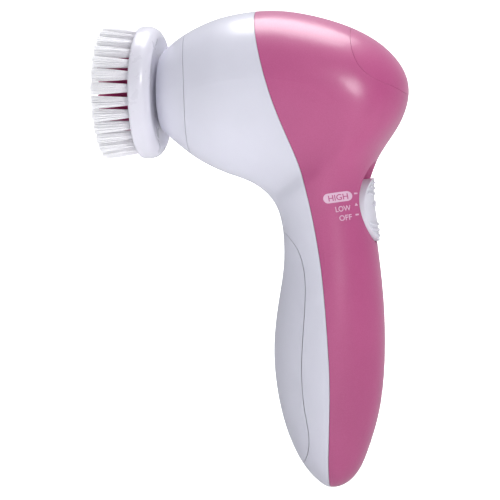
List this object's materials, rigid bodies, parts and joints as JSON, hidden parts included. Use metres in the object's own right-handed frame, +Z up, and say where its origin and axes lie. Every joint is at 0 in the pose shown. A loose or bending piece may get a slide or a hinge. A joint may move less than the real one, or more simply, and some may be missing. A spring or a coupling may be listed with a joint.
{
  "type": "facial cleansing brush",
  "caption": "Battery facial cleansing brush: pistol-shaped two-part handle with slide switch, geared spindle and a round brush that pulls off.",
  "frame": {"origin": "middle of the handle's grip, on the symmetry plane", "axes": "+Z up along the handle, the brush faces -X, +Y to the side; symmetric about the XZ plane"},
  "size_m": [0.1002, 0.0498, 0.155],
  "materials": {
    "white_shell": "satin white plastic",
    "pink_shell": "pearlescent pink paint",
    "white_part": "moulded white plastic",
    "gear_plastic": "natural acetal",
    "steel": "plain steel",
    "bush_brass": "sintered bronze",
    "contact_metal": "nickel plated spring steel",
    "battery_sleeve": "printed sleeve",
    "dark_plastic": "black moulded plastic",
    "board": "phenolic board",
    "resistor_body": "lacquered ceramic",
    "seal_rubber": "soft lip seal",
    "red_lead": "PVC insulation",
    "black_lead": "PVC insulation",
    "blue_lead": "PVC insulation",
    "white_bristle": "white nylon filament",
    "pink_bristle": "pink nylon filament"
  },
  "bodies": {
    "handle": {"front_shell": "white_shell", "nose_ring": "white_shell", "rear_shell": "pink_shell", "rear_cap": "pink_shell", "battery_tray": "white_part", "tray_screws": "steel", "positive_contact": "contact_metal", "negative_contact": "contact_metal", "bridge_contact": "contact_metal", "upper_spring": "contact_metal", "lower_spring": "contact_metal", "left_battery": "battery_sleeve", "right_battery": "battery_sleeve", "gearbox_cover": "white_part", "gearbox_housing": "white_part", "gearbox_screws": "steel", "spindle_bush": "bush_brass", "gear_axles": "steel", "motor_can": "steel", "motor_end_cap": "dark_plastic", "motor_terminals": "contact_metal", "motor_screws": "steel", "switch_housing": "steel", "switch_board": "board", "speed_resistor": "resistor_body", "nose_seal": "seal_rubber", "red_wire": "red_lead", "black_wire": "black_lead", "blue_wire": "blue_lead"},
    "spindle": {"spindle": "steel", "output_gear": "gear_plastic", "drive_coupling": "white_part"},
    "brush_head": {"brush_base": "white_part", "outer_bristles": "white_bristle", "inner_bristles": "pink_bristle"},
    "motor_rotor": {"motor_shaft": "steel", "motor_pinion": "gear_plastic"},
    "first_gear": {"first_gear": "gear_plastic"},
    "second_gear": {"second_gear": "gear_plastic"},
    "switch_slider": {"switch_knob": "white_part", "switch_actuator": "dark_plastic"},
    "battery_cover": {"battery_cover": "white_shell"}
  },
  "joints": [
    {"name": "spindle_spin", "type": "hinge", "parent": "handle", "child": "spindle", "pos_m": [-0.05, 0, 0.083], "axis": [-1, 0, 0], "continuous": true},
    {"name": "head_release", "type": "slide", "parent": "spindle", "child": "brush_head", "axis": [-1, 0, 0], "range_m": [0, 0.012]},
    {"name": "motor_spin", "type": "hinge", "parent": "handle", "child": "motor_rotor", "pos_m": [-0.03, 0, 0.083], "axis": [-1, 0, 0], "continuous": true},
    {"name": "first_gear_spin", "type": "hinge", "parent": "handle", "child": "first_gear", "pos_m": [-0.03, 0.00865, 0.07985], "axis": [-1, 0, 0], "continuous": true},
    {"name": "second_gear_spin", "type": "hinge", "parent": "handle", "child": "second_gear", "pos_m": [-0.034, 0.00131, 0.0743], "axis": [-1, 0, 0], "continuous": true},
    {"name": "switch_slide", "type": "slide", "parent": "handle", "child": "switch_slider", "axis": [-0.0995, 0, 0.995], "range_m": [0, 0.004]},
    {"name": "battery_cover_slide", "type": "slide", "parent": "handle", "child": "battery_cover", "axis": [-0.9063, 0, -0.4226], "range_m": [0, 0.022]}
  ],
  "couplings": [
    {"joint": "second_gear_spin", "follows": "spindle_spin", "ratio": -2.6667},
    {"joint": "first_gear_spin", "follows": "spindle_spin", "ratio": 9.6},
    {"joint": "motor_spin", "follows": "spindle_spin", "ratio": -34.56}
  ]
}
